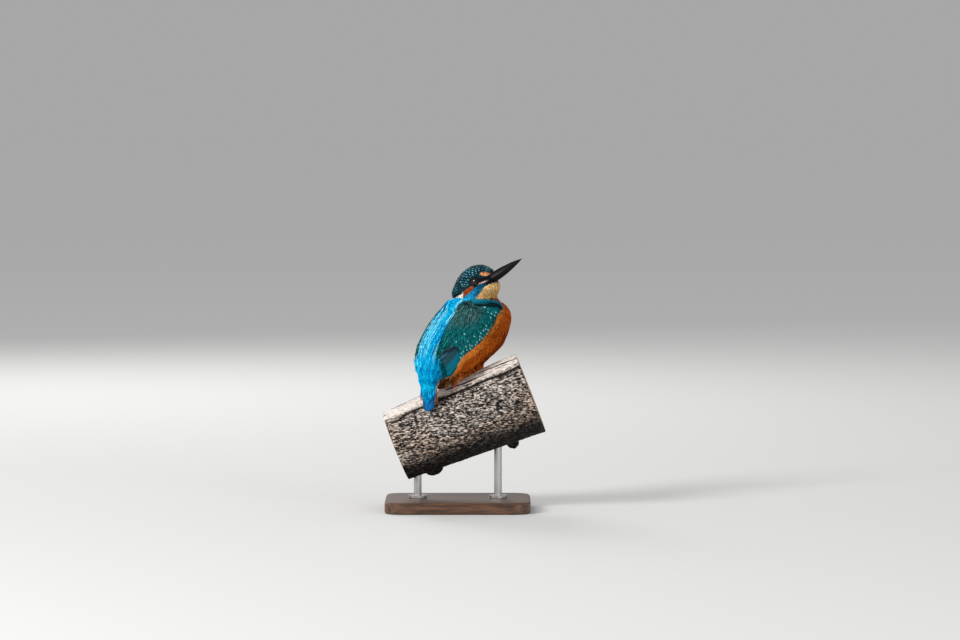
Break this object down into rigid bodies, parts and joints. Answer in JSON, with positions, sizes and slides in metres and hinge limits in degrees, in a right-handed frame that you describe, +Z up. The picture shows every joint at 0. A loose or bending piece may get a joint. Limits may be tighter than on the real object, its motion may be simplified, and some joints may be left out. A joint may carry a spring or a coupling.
{
  "type": "kingfisher on a cut bough, on a display stand",
  "caption": "Life-size kingfisher with a dagger bill, looking back over its shoulder, on a sloping cut bough held by a flat base and rods.",
  "frame": {"origin": "centre of the underside of the stand's base", "axes": "+Z up, +X along the base's long side, towards the bough's raised end and the bill, +Y away from the bird's tail"},
  "size_m": [0.1264, 0.085, 0.1943],
  "materials": {
    "stand_wood": "satin",
    "stand_metal": "satin",
    "perch_wood": "dry, weathered grey grain",
    "plumage_body": "soft feathers, orange below and azure above",
    "plumage_throat": "soft feathers, cream throat and blue sides",
    "plumage_wing": "teal feathers with pale azure spots",
    "plumage_tail": "deep blue feathers",
    "foot_skin": "matt scaled skin",
    "plumage_head": "dark teal feathers barred pale azure",
    "eye": "wet gloss",
    "bill_horn": "satin horn"
  },
  "bodies": {
    "root": {"stand_base": "stand_wood", "stand_rod_low": "stand_metal", "stand_rod_high": "stand_metal", "perch": "perch_wood", "trunk": "plumage_body", "neck": "plumage_throat", "wing_right": "plumage_wing", "wing_left": "plumage_wing", "tail": "plumage_tail", "leg_left": "foot_skin", "leg_right": "foot_skin", "head": "plumage_head", "eye_left": "eye", "eye_right": "eye", "bill_upper": "bill_horn", "bill_lower": "bill_horn"}
  },
  "joints": []
}
